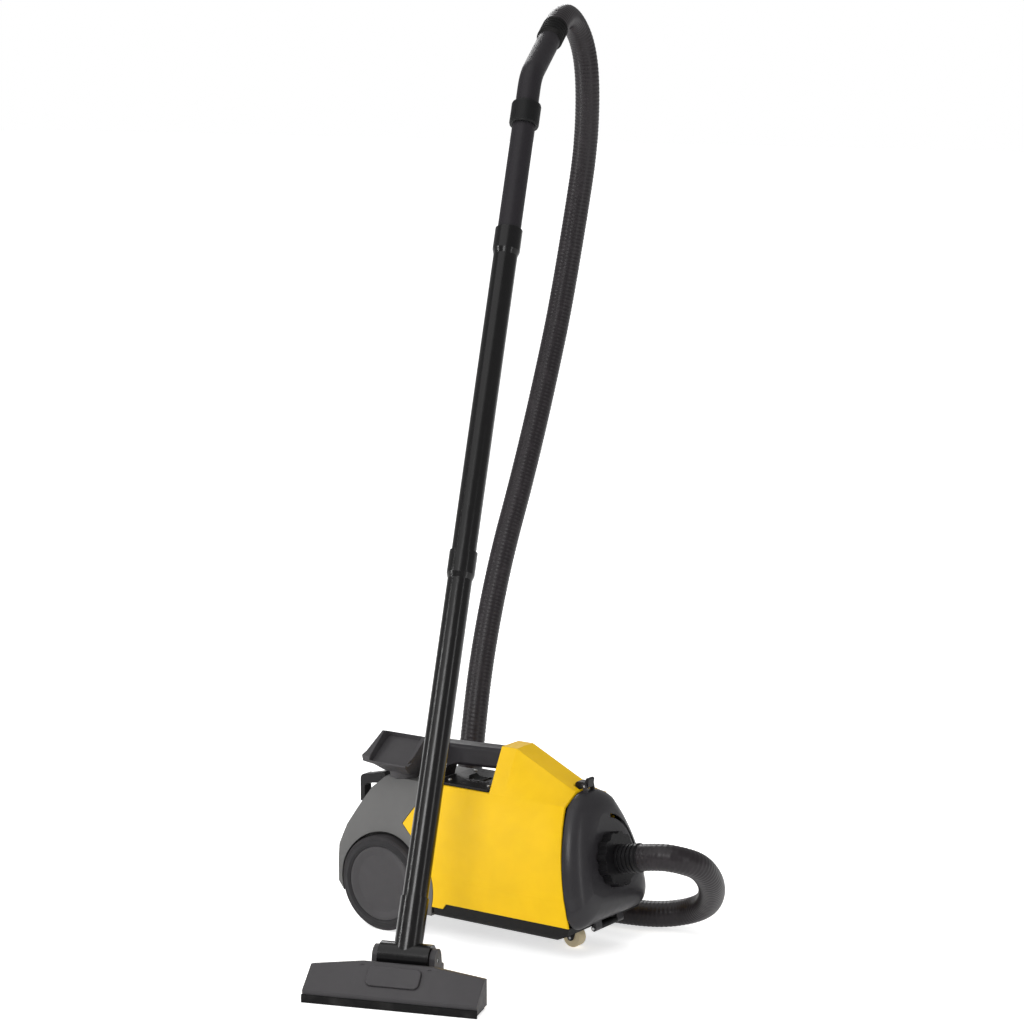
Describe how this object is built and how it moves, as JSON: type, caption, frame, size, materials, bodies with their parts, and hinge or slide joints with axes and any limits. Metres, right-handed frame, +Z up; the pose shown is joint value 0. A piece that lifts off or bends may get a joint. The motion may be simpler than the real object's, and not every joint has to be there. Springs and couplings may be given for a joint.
{
  "type": "canister vacuum cleaner",
  "caption": "Compact corded canister vacuum with two big side wheels and a front caster, joined by a ribbed hose to a two-piece wand with a flat floor tool.",
  "frame": {"origin": "On the floor, below the centre of the box around every piece except the hose", "axes": "+X is the canister's front, where the hose goes in; +Y is its left; +Z is up"},
  "size_m": [0.5936, 0.9998, 1.3577],
  "materials": {
    "shell_yellow": "satin",
    "housing_dark": "satin",
    "base_black": "matte",
    "trim_black": "satin",
    "cover_grey": "satin",
    "handle_grey": "matte",
    "wheel_black": "matte",
    "tyre_rubber": "matte",
    "caster_cream": "satin",
    "steel": "brushed",
    "zinc_screw": "satin",
    "rubber_black": "matte",
    "hose_vinyl": "satin",
    "wand_black": "satin",
    "ring_black": "satin",
    "bag_paper": "matte",
    "card": "matte",
    "filter_foam": "matte",
    "motor_steel": "satin",
    "fan_aluminium": "satin",
    "copper_winding": "satin",
    "bristle": "matte"
  },
  "bodies": {
    "canister": {"body_shell": "shell_yellow", "rear_housing": "housing_dark", "base_pan": "base_black", "deck_cover": "trim_black", "deck_screws": "zinc_screw", "switch_module": "base_black", "carry_handle": "handle_grey", "wheel_axle": "steel", "axle_push_nuts": "steel", "cover_hinge_pin": "steel", "dust_bag": "bag_paper", "bag_collar": "card", "bag_bracket": "base_black", "filter_grille": "base_black", "motor_filter": "filter_foam", "fan_case": "motor_steel", "motor_body": "motor_steel", "front_motor_mount": "rubber_black", "rear_motor_mount": "rubber_black", "carbon_brush_holders": "trim_black", "exhaust_filter": "filter_foam", "cord_gland": "rubber_black", "cord_hook": "trim_black", "hose_lower": "hose_vinyl", "hose_upper": "hose_vinyl"},
    "right_wheel": {"right_wheel": "wheel_black", "right_tyre": "tyre_rubber", "right_hub_cap": "housing_dark"},
    "left_wheel": {"left_wheel": "wheel_black", "left_tyre": "tyre_rubber", "left_hub_cap": "housing_dark"},
    "caster_fork": {"caster_yoke": "base_black", "caster_axle": "steel"},
    "caster_roller": {"caster_wheel": "caster_cream"},
    "front_cover": {"front_cover": "cover_grey", "cover_gasket": "rubber_black", "inlet_seal": "rubber_black", "hose_cuff": "trim_black", "latch_pin": "steel"},
    "inlet_collar": {"inlet_collar": "trim_black"},
    "cover_latch": {"cover_latch": "trim_black"},
    "power_switch": {"power_switch": "rubber_black"},
    "fan_rotor": {"motor_shaft": "steel", "armature": "copper_winding", "impeller": "fan_aluminium"},
    "exhaust_door": {"exhaust_door": "base_black"},
    "upholstery_nozzle": {"upholstery_nozzle": "housing_dark"},
    "hose_handle": {"hose_handle": "handle_grey"},
    "suction_ring": {"suction_ring": "ring_black"},
    "grip_cuff": {"grip_cuff": "rubber_black"},
    "upper_wand": {"upper_wand": "wand_black"},
    "lower_wand": {"lower_wand": "wand_black"},
    "tool_neck": {"tool_neck": "wand_black"},
    "tool_head": {"tool_body": "housing_dark", "tool_sole": "base_black", "tool_bumper": "rubber_black", "tool_pivot_pins": "steel", "tool_screws": "zinc_screw"},
    "tool_pedal": {"tool_pedal": "housing_dark"},
    "brush_strip": {"brush_strip": "bristle"}
  },
  "joints": [
    {"name": "right_wheel_spin", "type": "hinge", "parent": "canister", "child": "right_wheel", "pos_m": [-0.15586, -0.08343, 0.071], "axis": [0, 1, 0], "continuous": true},
    {"name": "left_wheel_spin", "type": "hinge", "parent": "canister", "child": "left_wheel", "pos_m": [-0.15586, 0.09457, 0.071], "axis": [0, 1, 0], "continuous": true},
    {"name": "caster_swivel", "type": "hinge", "parent": "canister", "child": "caster_fork", "pos_m": [0.13014, 0.00557, 0.042], "axis": [0, 0, 1], "continuous": true},
    {"name": "caster_wheel_spin", "type": "hinge", "parent": "caster_fork", "child": "caster_roller", "pos_m": [0.12214, 0.00557, 0.015], "axis": [0, 1, 0], "continuous": true},
    {"name": "front_cover_hinge", "type": "hinge", "parent": "canister", "child": "front_cover", "pos_m": [0.17914, 0.00557, 0.045], "axis": [0, 1, 0], "range_deg": [0, 55], "deforming": ["hose_lower"]},
    {"name": "inlet_collar_turn", "type": "hinge", "parent": "front_cover", "child": "inlet_collar", "pos_m": [0.19389, 0.00557, 0.14165], "axis": [0.9781, 0, 0.2079], "range_deg": [0, 30]},
    {"name": "cover_latch_pivot", "type": "hinge", "parent": "front_cover", "child": "cover_latch", "pos_m": [0.14461, 0.00557, 0.24363], "axis": [0, 1, 0], "range_deg": [0, 25], "stiffness_Nm_per_rad": 0.05},
    {"name": "power_switch_rock", "type": "hinge", "parent": "canister", "child": "power_switch", "pos_m": [-0.04586, 0.00557, 0.221], "axis": [0, 1, 0], "range_deg": [-14, 0]},
    {"name": "fan_spin", "type": "hinge", "parent": "canister", "child": "fan_rotor", "pos_m": [-0.08986, 0.00557, 0.128], "axis": [1, 0, 0], "continuous": true},
    {"name": "exhaust_door_hinge", "type": "hinge", "parent": "canister", "child": "exhaust_door", "pos_m": [-0.24036, 0.00557, 0.061], "axis": [0, -1, 0], "range_deg": [0, 80]},
    {"name": "upholstery_nozzle_lift", "type": "slide", "parent": "canister", "child": "upholstery_nozzle", "axis": [0, 0, 1], "range_m": [0, 0.03]},
    {"name": "wand_lean", "type": "hinge", "parent": "canister", "child": "hose_handle", "pos_m": [0.05084, -0.30443, 0.05], "axis": [-0.9478, -0.319, 0], "range_deg": [-27, 18], "deforming": ["hose_upper"]},
    {"name": "suction_ring_turn", "type": "hinge", "parent": "hose_handle", "child": "suction_ring", "pos_m": [-0.13578, 0.2501, 1.18845], "axis": [-0.1458, 0.4332, 0.8894], "range_deg": [0, 60]},
    {"name": "grip_cuff_swivel", "type": "hinge", "parent": "hose_handle", "child": "grip_cuff", "pos_m": [-0.18363, 0.39227, 1.30969], "axis": [-0.2821, 0.8384, 0.4664], "continuous": true},
    {"name": "upper_wand_twist", "type": "hinge", "parent": "hose_handle", "child": "upper_wand", "pos_m": [-0.07163, 0.05948, 0.79711], "axis": [-0.1458, 0.4332, 0.8894], "continuous": true},
    {"name": "lower_wand_twist", "type": "hinge", "parent": "upper_wand", "child": "lower_wand", "pos_m": [0.00185, -0.15887, 0.34884], "axis": [-0.1458, 0.4332, 0.8894], "continuous": true},
    {"name": "neck_twist", "type": "hinge", "parent": "lower_wand", "child": "tool_neck", "pos_m": [0.04209, -0.27844, 0.10336], "axis": [-0.1458, 0.4332, 0.8894], "continuous": true},
    {"name": "tool_pitch", "type": "hinge", "parent": "tool_neck", "child": "tool_head", "pos_m": [0.05084, -0.30443, 0.05], "axis": [-0.9478, -0.319, 0], "range_deg": [-18, 27]},
    {"name": "brush_pedal_rock", "type": "hinge", "parent": "tool_head", "child": "tool_pedal", "pos_m": [0.06903, -0.3585, 0.03868], "axis": [0.9478, 0.319, 0], "range_deg": [0, 8]},
    {"name": "brush_strip_lift", "type": "slide", "parent": "tool_head", "child": "brush_strip", "axis": [0, 0, 1], "range_m": [0, 0.0046]}
  ],
  "couplings": [
    {"joint": "lower_wand_twist", "follows": "upper_wand_twist", "ratio": -2},
    {"joint": "neck_twist", "follows": "upper_wand_twist", "ratio": 1},
    {"joint": "tool_pitch", "follows": "wand_lean", "ratio": -1},
    {"joint": "brush_strip_lift", "follows": "brush_pedal_rock", "m_per_rad": 0.0322}
  ]
}
